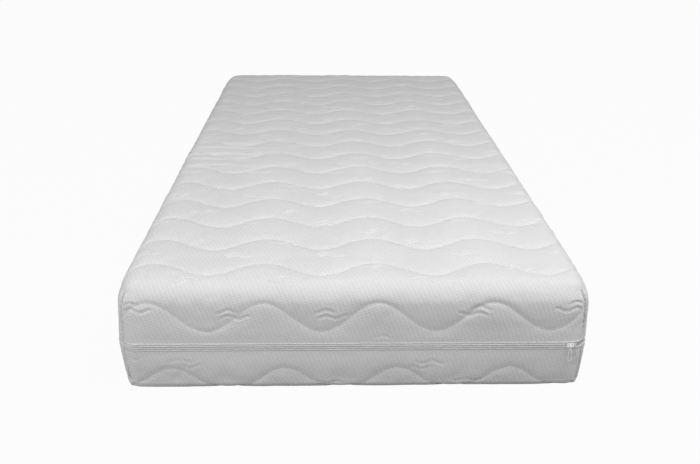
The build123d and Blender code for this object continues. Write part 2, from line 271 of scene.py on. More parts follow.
def stitch_group(name):
    """Thread along the stitched waves, from the quilting's coordinates: dashes of thread, one stitch long."""
    group, given, result = new_group(
        name, ("Height",), Vector=None, Spacing=0.128, Wave_length=0.215, Wave_height=0.029, Drift=0.023,
        Crest=0.0, Row=0.0, Thread=0.0006, Stitch=0.0034)

    def calc(*parts):
        return math_node(group, *parts)

    split = group.nodes.new("ShaderNodeSeparateXYZ")
    group.links.new(given["Vector"], split.inputs[0])
    u, v = split.outputs["X"], split.outputs["Y"]
    across = calc("ADD", calc("SUBTRACT", u, given["Crest"]), calc("MULTIPLY", v, given["Drift"]))
    turn = calc("MULTIPLY", calc("DIVIDE", across, given["Wave length"]), 2 * pi)
    wave = calc("MULTIPLY", calc("COSINE", turn), given["Wave height"])
    rows = calc("DIVIDE", calc("SUBTRACT", calc("SUBTRACT", v, given["Row"]), wave), given["Spacing"])
    nearest = calc("SUBTRACT", rows, calc("ROUND", rows))
    away = calc("MULTIPLY", calc("ABSOLUTE", nearest), given["Spacing"])
    line = calc("LESS_THAN", away, given["Thread"])
    dash = calc("LESS_THAN", calc("FRACT", calc("DIVIDE", u, given["Stitch"])), 0.78)
    group.links.new(calc("MULTIPLY", line, dash), result["Height"])
    return group


GROUPS = {
    "Knit dimples": knit_group,
    "Cloth tone": tone_group,
    "Fine grain": grain_group,
    "Stitched wave": stitch_group,
}


# ---------------------------------------------------------------- materials


def new_material(name, colour, roughness, metallic=0.0, sheen=0.0):
    """A material with one Principled shader, its plain values set on the shader's own sockets."""
    material = bpy.data.materials.new(name)
    material.use_nodes = True
    tree = material.node_tree
    shader = tree.nodes["Principled BSDF"]
    shader.inputs["Base Color"].default_value = (*colour, 1)
    shader.inputs["Roughness"].default_value = roughness
    shader.inputs["Metallic"].default_value = metallic
    shader.inputs["Sheen Weight"].default_value = sheen
    shader.inputs["Sheen Roughness"].default_value = 0.6
    material.diffuse_color = (*colour, 1)
    return material, tree, shader


def place_group(tree, name, **values):
    """One copy of a shader group in a material, with its own values or links."""
    node = tree.nodes.new("ShaderNodeGroup")
    node.node_tree = bpy.data.node_groups.get(name) or GROUPS[name](name)
    for key, value in values.items():
        socket = node.inputs[key.replace("_", " ")]
        if isinstance(value, bpy.types.NodeSocket):
            tree.links.new(value, socket)
        else:
            socket.default_value = value
    return node


def tint(tree, shader, colour, vector, **values):
    """Gives the shader its colour, varied by the tone group."""
    tone = place_group(tree, "Cloth tone", Vector=vector, Colour=(*colour, 1), **values)
    tree.links.new(tone.outputs["Colour"], shader.inputs["Base Color"])


def grain(tree, vector, scale, cells=0.0):
    """The height of fine grain of one scale."""
    return place_group(tree, "Fine grain", Vector=vector, Scale=scale, Cells=cells).outputs["Height"]


def add_bump(tree, shader, *layers):
    """Bumps one after another into the shader's normal; each layer is a height socket and its depth."""
    normal = None
    for height, depth in layers:
        bump = tree.nodes.new("ShaderNodeBump")
        bump.inputs["Strength"].default_value = 1.0
        bump.inputs["Distance"].default_value = depth
        tree.links.new(height, bump.inputs["Height"])
        if normal is not None:
            tree.links.new(normal, bump.inputs["Normal"])
        normal = bump.outputs["Normal"]
    tree.links.new(normal, shader.inputs["Normal"])


def coordinates(tree, kind):
    """Object coordinates, or a piece's own UV map by name."""
    if kind == "Object":
        return tree.nodes.new("ShaderNodeTexCoord").outputs["Object"]
    node = tree.nodes.new("ShaderNodeUVMap")
    node.uv_map = kind
    return node.outputs["UV"]


def knit_material(name, colour, quilt, half=None):
    """Stretch knit: dots, fine wales and fibres, and thread in the grooves of a quilted half. Its colour is
    darkened in the dots' dimples, which is painted shade, and along the corner seams, which is partly the
    seam's thread and partly painted shade.
    """
    material, tree, shader = new_material(name, colour, 0.88, sheen=0.25)
    place = coordinates(tree, "Object")
    slant = half["slant"] if half else DOT_SLANT
    knit = place_group(
        tree, "Knit dimples", Vector=coordinates(tree, "cloth"), Pitch=quilt.knit_pitch, Slant=slant)
    layers = [(knit.outputs["Height"], 0.40 * MM), (grain(tree, place, 1400.0), 0.10 * MM)]
    # Painted shade: the knit's colour is darkened in its dimples, where shade would fall.
    painted_shade_and_thread = math_node(tree, "MULTIPLY", knit.outputs["Dimples"], 0.09)
    if half is not None:
        # Along the corner seams the colour is darkened more: partly the seam's thread, partly painted shade in
        # the seam's groove.
        sewn = tree.nodes.new("ShaderNodeAttribute")
        sewn.attribute_name = "sewn"
        painted_shade_and_thread = math_node(tree, "ADD", painted_shade_and_thread, math_node(tree, "MULTIPLY", sewn.outputs["Fac"], 0.3))
        stitch = place_group(
            tree, "Stitched wave", Vector=coordinates(tree, "quilting"), Spacing=quilt.row_spacing,
            Wave_length=quilt.wave_length, Wave_height=quilt.wave_height, Drift=quilt.wave_drift,
            Crest=half["crest"], Row=half["row"])
        layers.append((stitch.outputs["Height"], 0.35 * MM))
    tint(tree, shader, colour, place, Scale=7.0, Amount=0.05, Mask=painted_shade_and_thread, Tint=1.0)
    add_bump(tree, shader, *layers)
    return material


def lining_material(name, colour):
    """Soft non-woven: fibres and a faint mottle."""
    material, tree, shader = new_material(name, colour, 0.95, sheen=0.3)
    place = coordinates(tree, "Object")
    tint(tree, shader, colour, place, Scale=60.0, Amount=0.12)
    add_bump(tree, shader, (grain(tree, place, 500.0), 0.4 * MM))
    return material


def tape_material(name, colour):
    """Herringbone tape, from its own length and width."""
    material, tree, shader = new_material(name, colour, 0.8, sheen=0.15)
    cloth = coordinates(tree, "cloth")
    wave = tree.nodes.new("ShaderNodeTexWave")
    wave.bands_direction = "DIAGONAL"
    wave.inputs["Scale"].default_value = 260.0
    tree.links.new(cloth, wave.inputs["Vector"])
    tint(tree, shader, colour, cloth, Scale=40.0, Amount=0.08, Mask=wave.outputs["Fac"], Tint=0.08)
    add_bump(tree, shader, (wave.outputs["Fac"], 0.12 * MM))
    return material


def coil_material(name, colour):
    """Drawn nylon, slightly glossy."""
    material, tree, shader = new_material(name, colour, 0.38)
    place = coordinates(tree, "Object")
    tint(tree, shader, colour, place, Scale=120.0, Amount=0.08)
    add_bump(tree, shader, (grain(tree, place, 900.0), 0.03 * MM))
    return material


def metal_material(name, colour):
    """Pale satin plate: a soft sheen, duller in patches."""
    material, tree, shader = new_material(name, colour, 0.32, metallic=0.1)
    place = coordinates(tree, "Object")
    patch = math_node(tree, "MULTIPLY", grain(tree, place, 160.0), 0.25)
    tree.links.new(math_node(tree, "ADD", patch, 0.2), shader.inputs["Roughness"])
    tint(tree, shader, colour, place, Scale=200.0, Amount=0.15)
    add_bump(tree, shader, (grain(tree, place, 700.0), 0.02 * MM))
    return material


def foam_material(name, colour):
    """Open-cell foam: pores, with painted shade darkening them, and a slow drift of tone."""
    material, tree, shader = new_material(name, colour, 0.92, sheen=0.1)
    place = coordinates(tree, "Object")
    pores = grain(tree, place, 420.0, 1.0)
    # Painted shade: the foam's colour is darkened in its pores.
    painted_pore_shade = math_node(tree, "SUBTRACT", 1.0, pores)
    tint(tree, shader, colour, place, Scale=14.0, Amount=0.10, Mask=painted_pore_shade, Tint=0.14)
    add_bump(tree, shader, (pores, 0.8 * MM), (grain(tree, place, 55.0), 0.6 * MM))
    return material


def finish(name, maker, *arguments):
    """The material of that name, made on first use."""
    return bpy.data.materials.get(name) or maker(name, *arguments)


# ---------------------------------------------------------------- mesh helpers


def mesh_piece(name, points, faces, material, cloth=None, quilting=None, smooth=True, flat_end=0):
    """A mesh object at the origin, with its place in its mesh. cloth and quilting hold a pair of coordinates
    for each face corner, and the last flat_end faces are shaded flat."""
    mesh = bpy.data.meshes.new(name)
    mesh.from_pydata(points, [], faces)
    for label, pairs in (("cloth", cloth), ("quilting", quilting)):
        if pairs is not None:
            layer = mesh.uv_layers.new(name=label)
            layer.data.foreach_set("uv", np.asarray(pairs, np.float32).ravel())
    mesh.materials.append(material)
    if smooth:
        mesh.polygons.foreach_set("use_smooth", np.arange(len(faces)) < len(faces) - flat_end)
    mesh.update()
    piece = bpy.data.objects.new(name, mesh)
    bpy.context.scene.collection.objects.link(piece)
    return piece


def deselect():
    """Leaves object mode with nothing selected."""
    if bpy.context.object and bpy.context.object.mode != "OBJECT":
        bpy.ops.object.mode_set(mode="OBJECT")
    bpy.ops.object.select_all(action="DESELECT")


def pick(piece):
    """Leaves only this piece selected, and active."""
    deselect()
    bpy.context.view_layer.objects.active = piece
    piece.select_set(True)


def apply_modifier(piece, kind, **settings):
    """Adds one modifier and applies it."""
    pick(piece)
    modifier = piece.modifiers.new(kind.title(), kind)
    for key, value in settings.items():
        setattr(modifier, key, value)
    bpy.ops.object.modifier_apply(modifier=modifier.name)


def block(name, low, high):
    """A box primitive between two corners, with its place in its mesh."""
    deselect()
    low, high = Vector(low), Vector(high)
    bpy.ops.mesh.primitive_cube_add(size=1)
    piece = bpy.context.object
    piece.name = name
    piece.data.name = name
    piece.data.transform(Matrix.Translation((low + high) / 2) @ Matrix.Diagonal((*(high - low), 1)))
    return piece


def shade(piece, material, angle=35):
    """One material, and smooth shading broken at edges sharper than the angle."""
    piece.data.materials.clear()
    piece.data.materials.append(material)
    pick(piece)
    bpy.ops.object.shade_smooth_by_angle(angle=radians(angle))
    return piece


def settle(piece, body, slot, *nodes):
    """Puts a finished piece on its body and in place of its nodes; the slot that it is given is not used."""
    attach(piece, body)
    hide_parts(*nodes)


# ---------------------------------------------------------------- the cover's surface

# Where the quilting starts on each half, in its own cloth coordinates
TOP_QUILT = {
    "crest": 0.022, "row": -0.919, "seed": 11, "slant": DOT_SLANT,
    "drops": (0.0, 0.4, 0.0, 0.4, 0.7, 0.0, 0.37, 0.75, 0.33),  # of the motifs in each column, in repeats
}
BOTTOM_QUILT = {
    "crest": 0.167, "row": 0.012, "seed": 23, "slant": -DOT_SLANT,
    "drops": (0.46, 0.9, 0.0, 0.17, 0.8, 0.43, 0.2, 0.85, 0.55),
}
HALVES = ((TOP_QUILT, "top", COVER_BODY), (BOTTOM_QUILT, "bottom", CORE_BODY))
ROWS = ((1, "upper", COVER_BODY), (-1, "lower", CORE_BODY))  # of the zip, each with its side of the line

# The small wavelets: two short waves side by side, each with its place across and along and its share of length
WAVELETS = ((-6 * MM, -6 * MM, 0.9), (10 * MM, 6 * MM, 0.62))
WAVELET_HEIGHT = 3.2 * MM
WAVELET_GROOVE = 2.1 * MM
WAVELET_END = 7 * MM  # over which it fades out

# What the seams, the zip and the floor do to the cover's shape
SEAM_WELT = 2.2 * MM  # how far the cloth rises beside a corner seam
WALL_TAUTNESS = 0.35  # how much flatter the quilting is on the walls, which the zip holds tight
DRAW_REACH = 60 * MM  # how far from a corner the seams draw the walls in
DRAW_NEAR = 22 * MM  # the same beside the zip, clear of the sliders
WALL_SET_IN = 2.2 * MM  # of the walls away from the zip
FABRIC_DEPTH = 1.1 * MM  # of the quilted layer at its rim
PULL_CLEARANCE = 0.2 * MM  # how far the fabric may stand out where the sliders and pulls pass
PULL_BAND = 34 * MM  # the height above and below the zip that they pass over
CLOTH_FRAMES = 20


def bell(distance, width):
    """1 at no distance, falling off to 0 over about twice the width."""
    return np.exp(-((distance / width) ** 2))


def soft_noise(x, y, size_x, size_y, seed):
    """Smooth noise between -1 and 1, with bumps of about the given sizes."""
    table = np.random.default_rng(seed).uniform(-1, 1, (97, 101))
    grid_x, grid_y = x / size_x + 40.0, y / size_y + 40.0
    cell_x, cell_y = np.floor(grid_x).astype(int), np.floor(grid_y).astype(int)
    part_x, part_y = grid_x - cell_x, grid_y - cell_y
    blend_x = part_x * part_x * (3 - 2 * part_x)
    blend_y = part_y * part_y * (3 - 2 * part_y)
    near = table[cell_x % 97, cell_y % 101] * (1 - blend_x) + table[(cell_x + 1) % 97, cell_y % 101] * blend_x
    far = (table[cell_x % 97, (cell_y + 1) % 101] * (1 - blend_x)
           + table[(cell_x + 1) % 97, (cell_y + 1) % 101] * blend_x)
    return near * (1 - blend_y) + far * blend_y


def wave_distance(u, v, quilt, half):
    """Distance to the nearest stitched wave, and the share of the way from one wave to the next."""
    turn = 2 * pi * (u - half["crest"] + quilt.wave_drift * v) / quilt.wave_length
    rows = (v - half["row"] - quilt.wave_height * np.cos(turn)) / quilt.row_spacing
    share = rows - np.floor(rows)
    slope = 2 * pi * quilt.wave_height / quilt.wave_length * np.sin(turn)
    near = np.minimum(share, 1 - share) * quilt.row_spacing / np.sqrt(1 + slope**2)
    return near, share


def motif_relief(u, v, quilt, half):
    """How deep the small double wavelets sink, from 0 to 1."""
    column = np.floor(u / quilt.motif_column).astype(int)
    drop = np.array(half["drops"])[(column + 4) % len(half["drops"])] * quilt.motif_repeat
    across = u - (column + 0.5) * quilt.motif_column
    across = np.where(column % 2 == 0, across, -across)
    repeats = (v + 0.24 + drop) / quilt.motif_repeat
    along = (repeats - np.round(repeats)) * quilt.motif_repeat
    depth = np.zeros_like(u)
    wave = 2 * pi / (0.56 * quilt.motif_length)
    for shift_u, shift_v, share in WAVELETS:
        height = WAVELET_HEIGHT * np.sin(wave * across + 0.4)
        slope = WAVELET_HEIGHT * wave * np.cos(wave * across + 0.4)
        away = (along - shift_v - height) / np.sqrt(1 + slope**2)
        end = np.clip((share * quilt.motif_length / 2 - np.abs(across - shift_u)) / WAVELET_END, 0, 1)
        depth += end * (bell(away, WAVELET_GROOVE) - 0.12 * bell(np.abs(away) - 5 * MM, 2.6 * MM))
    return depth


def gathered_folds(u, v, cover):
    """The slack that gathers in short folds at the left edge, and two long soft folds near the foot end."""
    bend = 0.012 * np.sin(9 * u + 1.0) + 0.006 * soft_noise(u, v, 0.09, 0.2, 5)
    ridge = np.cos(2 * pi * (v + 0.12 - bend) / 0.055)
    reach = bell(u + 0.37, 0.12) * bell(v + 0.13, 0.14)
    folds = cover.gather_height * reach * (np.maximum(ridge, 0) ** 1.5 - 0.35)
    folds += 1.6 * MM * bell(u + 0.30, 0.16) * bell(v + 0.93, 0.03)
    return folds + 1.5 * MM * bell(u + 0.22, 0.13) * bell(v + 0.03 + 0.1 * u, 0.008)


def cloth_relief(lattice, cover, quilt, half, puff=None):
    """How far the fabric stands out of its plain surface. puff is what the padding does, where known."""
    u, v, drop, seam = lattice.length_u, lattice.length_v, lattice.down, lattice.seam
    near, share = wave_distance(lattice.u, lattice.v, quilt, half)
    soft = np.sqrt(near**2 + (0.9 * MM) ** 2) - 0.9 * MM
    groove = np.exp(-soft / quilt.groove_width)
    seed = half["seed"]
    if puff is None:
        firmness = 1 + 0.25 * soft_noise(u, v, 0.11, 0.09, seed)
        puff = quilt.puff_height * np.sin(pi * share) ** 0.8 * firmness
    taut = 1 - WALL_TAUTNESS * np.clip(drop / (40 * MM), 0, 1)
    relief = taut * (puff - quilt.groove_depth * groove)
    uneven = 1 + 0.3 * soft_noise(u, v, 0.09, 0.18, seed + 1)
    relief -= quilt.motif_depth * motif_relief(u, v, quilt, half) * uneven
    relief += 0.45 * MM * soft_noise(u, v, 0.011, 0.04, seed + 2) * np.exp(-near / (14 * MM))
    relief += cover.wrinkle_height * soft_noise(u, v, 0.26, 0.030, seed + 3) * (1 - groove)
    relief += 1.1 * MM * soft_noise(u, v, 0.33, 0.27, seed + 4)
    on_wall = np.clip(drop / (10 * MM), 0, 1)
    if lattice.top:
        relief += gathered_folds(u, v, cover)
    else:
        flat = np.clip(drop / (12 * MM), 0, 1)
        underside = np.minimum(0.7 * relief - 1.0 * MM, 0)
        relief = np.where(drop <= 0, underside, relief * flat - 0.5 * MM * (1 - flat))
    relief = relief * (1 - bell(seam, 11 * MM)) - cover.seam_depth * bell(seam, 2.6 * MM)
    relief += SEAM_WELT * bell(seam - 8 * MM, 3.8 * MM) * on_wall
    tucks = np.cos(2 * pi * (drop + 0.3 * np.abs(u)) / (15 * MM)) * np.exp(-seam / (9 * MM))
    return relief + 0.7 * MM * tucks * (drop > 0)


def stretched(angle, stretch):
    """The cloth's own length over a rounded edge of radius 1, stretched most in the middle of the edge."""
    return angle - (1 - stretch) * (angle - np.sin(4 * angle) / 4)


def axis_lattice(half, radius, step, stretch, multiple):
    """Places across a box with rounded edges, with the cloth's length and the quilting's at each."""
    arcs = multiple * max(1, round(radius * pi / 4 / step / multiple))
    flats = 2 * multiple * round((half - radius) / step / multiple)
    angle = np.linspace(0, pi / 4, arcs + 1)[1:]
    flat = np.linspace(-(half - radius), half - radius, flats + 1)
    edges = [half - radius + radius * part for part in (np.tan(angle), angle, stretched(angle, stretch))]
    return [np.concatenate([-edge[::-1], flat, edge]) for edge in edges]


def wall_lattice(radius, straight, step, stretch, multiple):
    """Heights down a wall from the middle of its rounded edge, with the length down, and the quilting's."""
    arcs = multiple * max(1, round(radius * pi / 4 / step / multiple))
    rows = multiple * max(1, round(straight / step / multiple))
    angle = np.linspace(pi / 4, 0, arcs + 1)
    down = np.linspace(0, straight, rows + 1)[1:]
    rise = np.concatenate([radius * np.tan(angle), -down])
    drop = np.concatenate([radius * (pi / 4 - angle), radius * pi / 4 + down])
    whole = radius * stretched(pi / 4, stretch)
    quilt = np.concatenate([whole - radius * stretched(angle, stretch), whole + down])
    return rise, drop, quilt


def plan_rounding(x, y, radius):
    """Widens corners of one radius to the plan's radius, by sliding points out from the corner's centre."""
    centre_x, centre_y = HALF_WIDTH - PLAN_RADIUS, HALF_LENGTH - PLAN_RADIUS
    off_x, off_y = np.abs(x) - centre_x, np.abs(y) - centre_y
    corner = (off_x > 0) & (off_y > 0)
    turn = np.arctan2(np.where(corner, off_y, 0), np.where(corner, off_x, 1))
    inner = PLAN_RADIUS - radius
    reach = inner * (np.cos(turn) + np.sin(turn))
    round_part = reach + np.sqrt(np.maximum(reach**2 - 2 * inner**2 + radius**2, 0))
    side_part = PLAN_RADIUS / np.maximum(np.cos(turn), np.sin(turn))
    on_arc = side_part * np.minimum(np.cos(turn), np.sin(turn)) > inner
    scale = np.where(corner, PLAN_RADIUS / np.where(on_arc, round_part, side_part), 1.0)
    new_x = np.where(corner, np.sign(x) * (centre_x + off_x * scale), x)
    new_y = np.where(corner, np.sign(y) * (centre_y + off_y * scale), y)
    out_x = np.where(corner, np.sign(x) * np.cos(turn), 0.0)
    out_y = np.where(corner, np.sign(y) * np.sin(turn), 0.0)
    return new_x, new_y, out_x, out_y, corner


class HalfLattice:
    """Points of one cover half as a cap and a wall ring, with their outward directions and cloth coordinates.

    The ring runs round counter-clockwise from the left foot corner, and its row 0 is the cap's own border.
    """

    def __init__(self, top, step, cover, multiple=1, overlap=0.0, every=1):
        """multiple divides the counts of lines, overlap carries the wall on over the hem, and only one line in
        every is kept, for a plain back that meets the same rim."""
        self.top = top
        self.radius = PLAN_RADIUS if top else FOOT_RADIUS
        stretch = cover.edge_stretch
        across = axis_lattice(HALF_WIDTH, self.radius, step, stretch, multiple)
        along = axis_lattice(HALF_LENGTH, self.radius, step, stretch, multiple)
        self.centre_z = HEIGHT - self.radius if top else self.radius
        rim = TOP_LOW.z - overlap if top else BOTTOM_HIGH.z + overlap
        self.fold = HEM_TOP - HEM_EDGE - overlap  # from the rim to the hem's fold
        wall = wall_lattice(self.radius, abs(self.centre_z - rim), step, stretch, multiple)
        self.place_x, *self.cloth_x = (line[::every] for line in across)
        self.place_y, *self.cloth_y = (line[::every] for line in along)
        self.rise, *self.drop = (line[::every] for line in wall)
        self.nx, self.ny = len(self.place_x) - 1, len(self.place_y) - 1
        self.rows = len(self.rise) - 1
        self.ring = self.ring_order()
        self.cap_size = (self.nx + 1) * (self.ny + 1)
        self.build()

    def ring_order(self):
        """Lattice corners round the border, and the side each belongs to: foot, right, head, left."""
        nx, ny = self.nx, self.ny
        foot = [(i, 0, 0) for i in range(nx)]
        right = [(nx, j, 1) for j in range(ny)]
        head = [(i, ny, 2) for i in range(nx, 0, -1)]
        left = [(0, j, 3) for j in range(ny, 0, -1)]
        return np.array(foot + right + head + left)

    def side_cloth(self, i, j, side, drop, kind):
        """Cloth coordinates of wall points on one side: its own length, or where kind is 1 the quilting's."""
        cloth_x, cloth_y = self.cloth_x[kind], self.cloth_y[kind]
        u = np.where(side == 1, cloth_x[-1] + drop, np.where(side == 3, -cloth_x[-1] - drop, cloth_x[i]))
        v = np.where(side == 0, -cloth_y[-1] - drop, np.where(side == 2, cloth_y[-1] + drop, cloth_y[j]))
        return u, v

    def build(self):
        """Fills in points, outward directions, cloth coordinates, drops and distances from the seams."""
        i, j = np.meshgrid(np.arange(self.nx + 1), np.arange(self.ny + 1), indexing="ij")
        i, j = i.ravel(), j.ravel()
        columns = len(self.ring)
        row = np.repeat(np.arange(1, self.rows + 1), columns)
        column = np.tile(np.arange(columns), self.rows)
        wall_i, wall_j, side = self.ring[column].T
        length_x, length_y = self.cloth_x[0], self.cloth_y[0]
        cap_seam = np.hypot(length_x[-1] - np.abs(length_x[i]), length_y[-1] - np.abs(length_y[j]))
        end_seam, long_seam = length_x[-1] - np.abs(length_x[wall_i]), length_y[-1] - np.abs(length_y[wall_j])
        wall_seam = np.where(side % 2 == 0, end_seam, long_seam)
        drop = self.drop[0][row]
        for kind, name in enumerate(("length_u length_v", "u v")):
            cap = self.cloth_x[kind][i], self.cloth_y[kind][j]
            wall = self.side_cloth(wall_i, wall_j, side, self.drop[kind][row], kind)
            for label, on_cap, on_wall in zip(name.split(), cap, wall):
                setattr(self, label, np.concatenate([on_cap, on_wall]))
        x = np.concatenate([self.place_x[i], self.place_x[wall_i]])
        y = np.concatenate([self.place_y[j], self.place_y[wall_j]])
        rise = np.concatenate([np.full(len(i), self.radius), self.rise[row]])
        inner_x = np.clip(x, -(HALF_WIDTH - self.radius), HALF_WIDTH - self.radius)
        inner_y = np.clip(y, -(HALF_LENGTH - self.radius), HALF_LENGTH - self.radius)
        inner_z = np.minimum(rise, 0)
        out = np.stack([x - inner_x, y - inner_y, rise - inner_z], 1)
        out /= np.linalg.norm(out, axis=1, keepdims=True)
        x, y = inner_x + self.radius * out[:, 0], inner_y + self.radius * out[:, 1]
        x, y, turn_x, turn_y, corner = plan_rounding(x, y, self.radius)
        level = np.sqrt(np.maximum(1 - out[:, 2] ** 2, 0))
        out[:, 0] = np.where(corner, level * turn_x, out[:, 0])
        out[:, 1] = np.where(corner, level * turn_y, out[:, 1])
        height = inner_z + self.radius * out[:, 2]
        flip = 1 if self.top else -1
        self.points = np.stack([x, y, self.centre_z + flip * height], 1)
        self.out = out * [1, 1, flip]
        self.down = np.concatenate([np.zeros(len(i)), drop])
        self.seam = np.concatenate([cap_seam, wall_seam])

    def edge_distance(self):
        """Distance over the cloth to the middle of the rounded edge."""
        inside_x = self.cloth_x[0][-1] - np.abs(self.length_u)
        inside_y = self.cloth_y[0][-1] - np.abs(self.length_v)
        return np.where(self.down > 0, self.down, np.minimum(inside_x, inside_y))

    def zip_distance(self):
        """Distance down or up the wall to the hem's fold."""
        return self.drop[0][-1] - self.down + self.fold

    def index(self, row, column):
        """Vertex numbers of a wall row's columns."""
        column = column % len(self.ring)
        if row == 0:
            return self.ring[column, 0] * (self.ny + 1) + self.ring[column, 1]
        return self.cap_size + (row - 1) * len(self.ring) + column

    def faces(self):
        """Quads facing out, and for each of their corners the cloth's coordinates and the quilting's."""
        i, j = np.meshgrid(np.arange(self.nx), np.arange(self.ny), indexing="ij")
        i, j = i.ravel(), j.ravel()
        corner_i = np.stack([i, i + 1, i + 1, i], 1)
        corner_j = np.stack([j, j, j + 1, j + 1], 1)
        quads = [corner_i * (self.ny + 1) + corner_j]
        cloths = zip(self.cloth_x, self.cloth_y)
        pairs = [[np.stack([cloth_x[corner_i], cloth_y[corner_j]], 2)] for cloth_x, cloth_y in cloths]
        columns = np.arange(len(self.ring))
        following = (columns + 1) % len(self.ring)
        side = np.repeat(self.ring[columns, 2][:, None], 4, 1)
        pair = np.stack([columns, columns, following, following], 1)
        ring_i, ring_j = self.ring[pair, 0], self.ring[pair, 1]
        for row in range(self.rows):
            upper = [self.index(row, columns), self.index(row, columns + 1)]
            lower = [self.index(row + 1, columns), self.index(row + 1, columns + 1)]
            quads.append(np.stack([upper[0], lower[0], lower[1], upper[1]], 1))
            for kind in (0, 1):
                drop = np.broadcast_to(self.drop[kind][[row, row + 1, row + 1, row]], pair.shape)
                pairs[kind].append(np.stack(self.side_cloth(ring_i, ring_j, side, drop, kind), 2))
        found = [np.concatenate(parts) for parts in (quads, *pairs)]
        return found if self.top else [part[:, ::-1] for part in found]


def shell_piece(name, outer, outer_points, inner, inner_points, material):
    """A closed layer between two lattices of one half, joined round the rim."""
    quads, *outer_pairs = outer.faces()
    back, *back_pairs = inner.faces()
    start = len(outer_points)
    share = len(outer.ring) // len(inner.ring)
    rim, rim_pairs = [], []
    for column in range(len(inner.ring)):
        edge = outer.index(outer.rows, np.arange(column * share, (column + 1) * share + 1))
        behind = start + inner.index(inner.rows, np.array([column + 1, column]))
        loop = np.concatenate([edge, behind])
        rim.append(loop if outer.top else loop[::-1])
        rim_pairs.append(np.tile([outer.u[edge[0]], outer.v[edge[0]]], (len(loop), 1)))
    faces = quads.tolist() + (start + back[:, ::-1]).tolist() + [loop.tolist() for loop in rim]
    cloth, quilting = (
        np.concatenate([front.reshape(-1, 2), behind[:, ::-1].reshape(-1, 2), *rim_pairs])
        for front, behind in zip(outer_pairs, back_pairs))
    points = np.concatenate([outer_points, inner_points])
    piece = mesh_piece(name, points.tolist(), faces, material, cloth, quilting, flat_end=len(rim))
    # Closeness to the corner seams, which the knit darkens: partly the seam's thread, partly painted shade in
    # the seam's groove.
    sewn = np.concatenate([bell(outer.seam, 2.2 * MM) * (outer.down > 0), np.zeros(len(inner_points))])
    piece.data.attributes.new("sewn", "FLOAT", "POINT").data.foreach_set("value", sewn.astype(np.float32))
    return piece


def corner_pull(seam, near_zip, cover):
    """How far the corner seams draw the wall in: beside the zip only close to them, clear of the sliders."""
    wide = cover.corner_draw * np.exp(-seam / DRAW_REACH)
    tight = 0.6 * cover.corner_draw * bell(seam, DRAW_NEAR)
    share = np.exp(-near_zip / (25 * MM))
    return wide * (1 - share) + tight * share


def wall_shape(lattice, cover):
    """How far the whole thickness of the cover stands out of its plain shape: its walls bulge between the
    edge and the zip, the zip and the corner seams pull them in, and they draw in towards the floor."""
    near_zip = lattice.zip_distance()
    share = np.clip(lattice.down / lattice.drop[0][-1], 0, 1)
    on_wall = lattice.down > 0
    sideways = 1 - lattice.out[:, 2] ** 2
    shape = cover.wall_bulge * np.sin(pi * share) * on_wall
    shape -= cover.hem_pull * bell(near_zip, 16 * MM) * on_wall
    shape -= WALL_SET_IN * sideways * (1 - bell(near_zip, 30 * MM))
    shape -= corner_pull(lattice.seam, near_zip, cover) * sideways
    if lattice.top:
        return shape - cover.corner_sink * bell(lattice.seam, 48 * MM) * bell(lattice.down, 30 * MM)
    corner = np.where(lattice.points[:, 0] < 0, 1.6, 0.4) * np.exp(-lattice.seam / DRAW_REACH)
    return shape - cover.foot_taper * (1 + corner) * (1 - share) ** 1.3 * sideways


def spline_weights(places, count, closed):
    """A matrix that takes values at whole places to a smooth curve's values at any places."""
    whole = np.floor(places).astype(int)
    part = places - whole
    weights = (
        (1 - part) ** 3 / 6, (3 * part**3 - 6 * part**2 + 4) / 6,
        (-3 * part**3 + 3 * part**2 + 3 * part + 1) / 6, part**3 / 6,
    )
    matrix = np.zeros((len(places), count))
    for shift, weight in enumerate(weights):
        index = whole + shift - 1
        index = index % count if closed else np.clip(index, 0, count - 1)
        np.add.at(matrix, (np.arange(len(places)), index), weight)
    return matrix


def spread(values, coarse, fine):
    """Values of a coarse lattice carried smoothly to a fine one of the same half."""
    nx, ny = coarse.nx, coarse.ny
    across = np.interp(fine.place_x, coarse.place_x, np.arange(nx + 1))
    along = np.interp(fine.place_y, coarse.place_y, np.arange(ny + 1))
    cap = values[:coarse.cap_size].reshape(nx + 1, ny + 1)
    cap = spline_weights(across, nx + 1, False) @ cap @ spline_weights(along, ny + 1, False).T
    border = values[coarse.index(0, np.arange(len(coarse.ring)))]
    wall = np.concatenate([border, values[coarse.cap_size:]]).reshape(coarse.rows + 1, -1)
    rows = np.interp(-fine.rise[1:], -coarse.rise, np.arange(coarse.rows + 1))
    i, j, side = fine.ring.T
    places = np.choose(side, [across[i], nx + along[j], 2 * nx + ny - across[i], 2 * nx + 2 * ny - along[j]])
    around = spline_weights(places, len(coarse.ring), True)
    wall = spline_weights(rows, coarse.rows + 1, False) @ wall @ around.T
    return np.concatenate([cap.ravel(), wall.ravel()])


